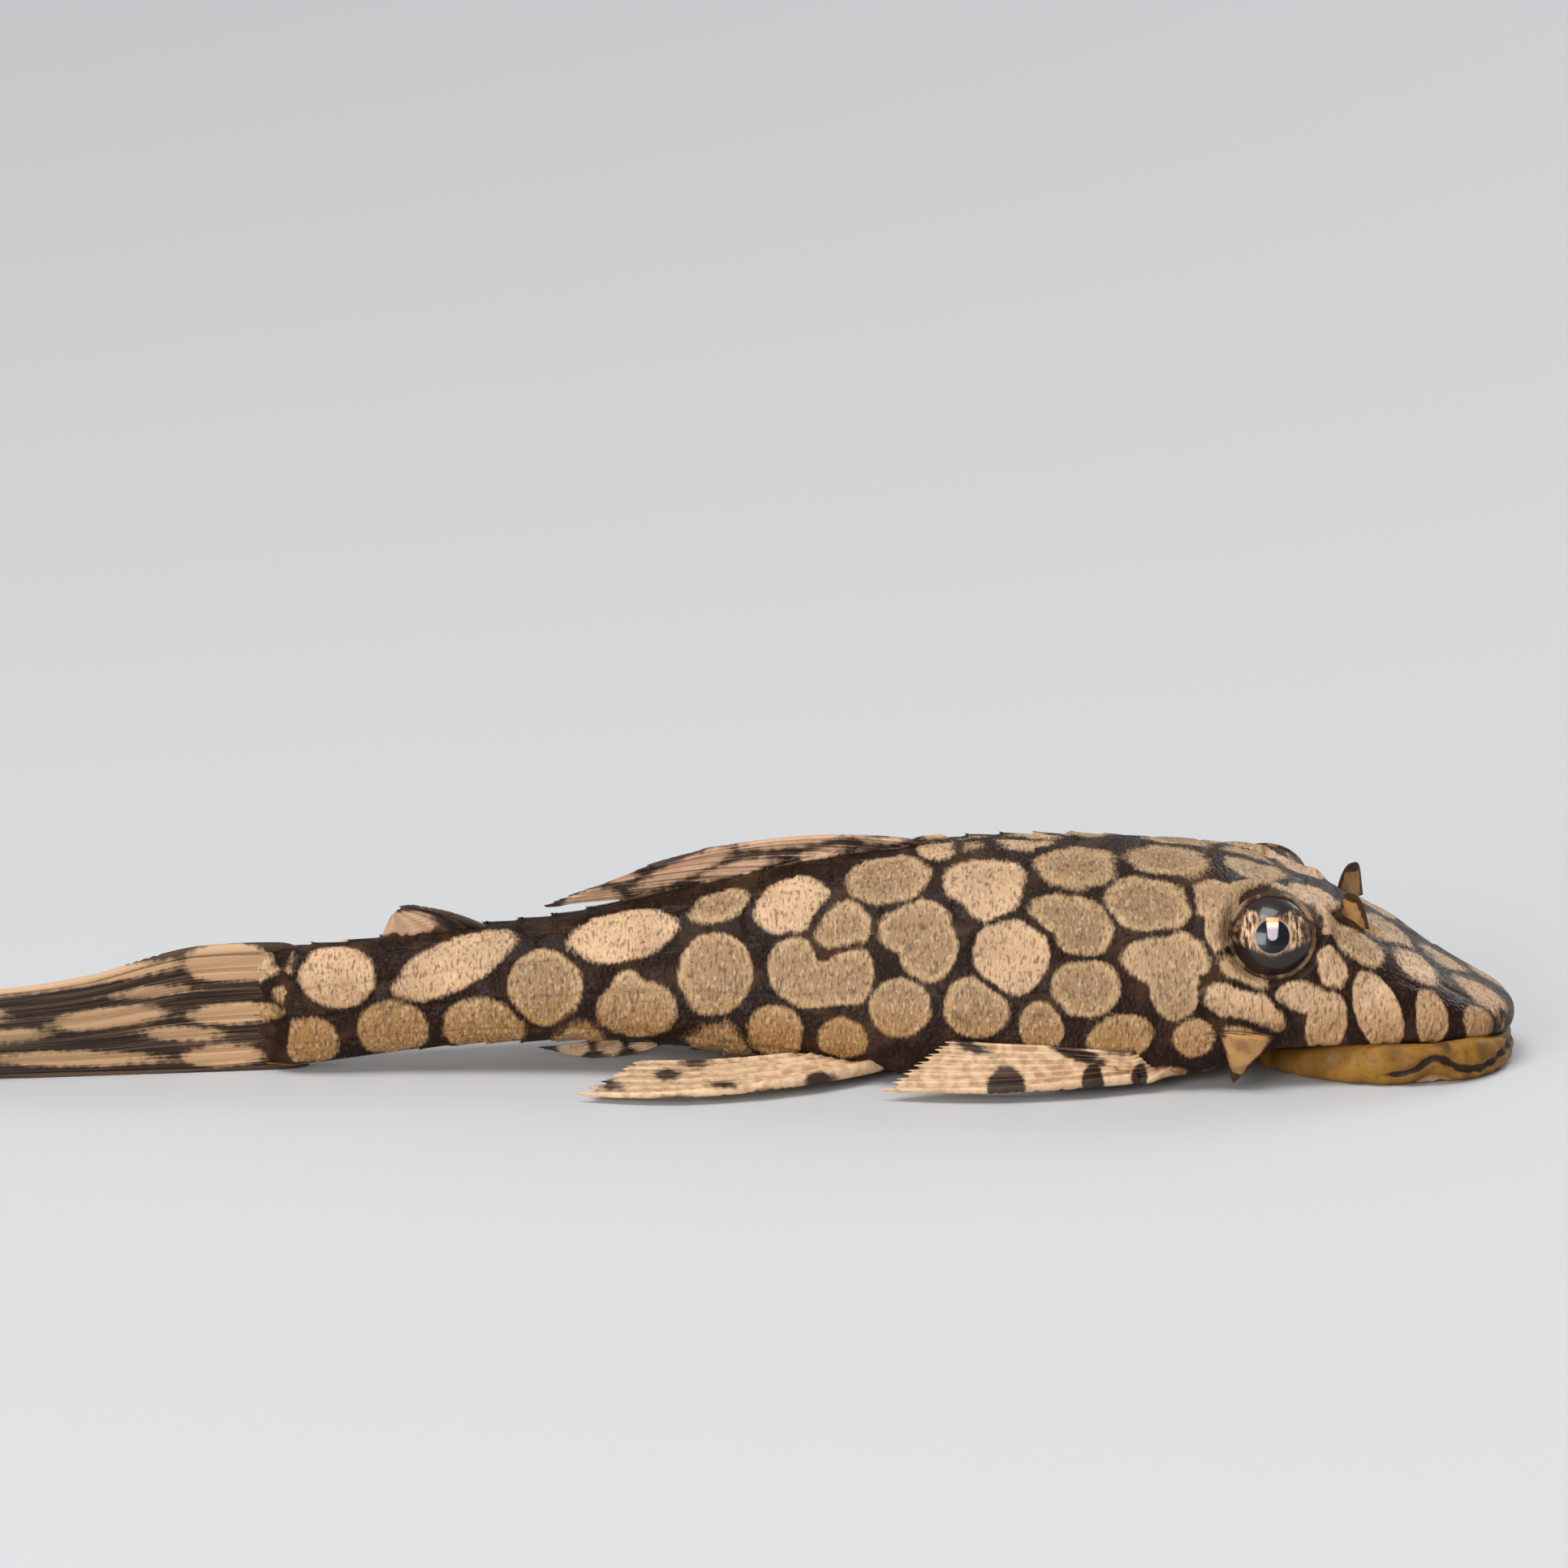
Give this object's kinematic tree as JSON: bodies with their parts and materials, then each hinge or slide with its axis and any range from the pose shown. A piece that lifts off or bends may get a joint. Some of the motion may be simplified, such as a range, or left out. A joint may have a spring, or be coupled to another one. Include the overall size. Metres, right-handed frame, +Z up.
{
  "type": "model fish",
  "caption": "Life-size young armoured catfish with a sucker mouth, resting on its belly with its fins folded back.",
  "frame": {"origin": "on the floor, at the middle of the fish's length and width", "axes": "+X towards the snout, +Y towards the fish's left side, +Z up"},
  "size_m": [0.065, 0.0193, 0.0093],
  "materials": {
    "skin": "damp skin over bony plates, tan blotches on a dark brown net",
    "lip": "soft damp skin, ochre brown",
    "fin": "thin web between banded rays",
    "eye": "clear, wet and glossy"
  },
  "bodies": {
    "root": {"head": "skin", "trunk": "skin", "tail": "skin", "lips": "lip", "dorsal_fin": "fin", "adipose_fin": "fin", "anal_fin": "fin", "caudal_fin": "fin", "pectoral_fin_right": "fin", "pectoral_fin_left": "fin", "pelvic_fin_right": "fin", "pelvic_fin_left": "fin", "eye_right": "eye", "eye_left": "eye"}
  },
  "joints": []
}
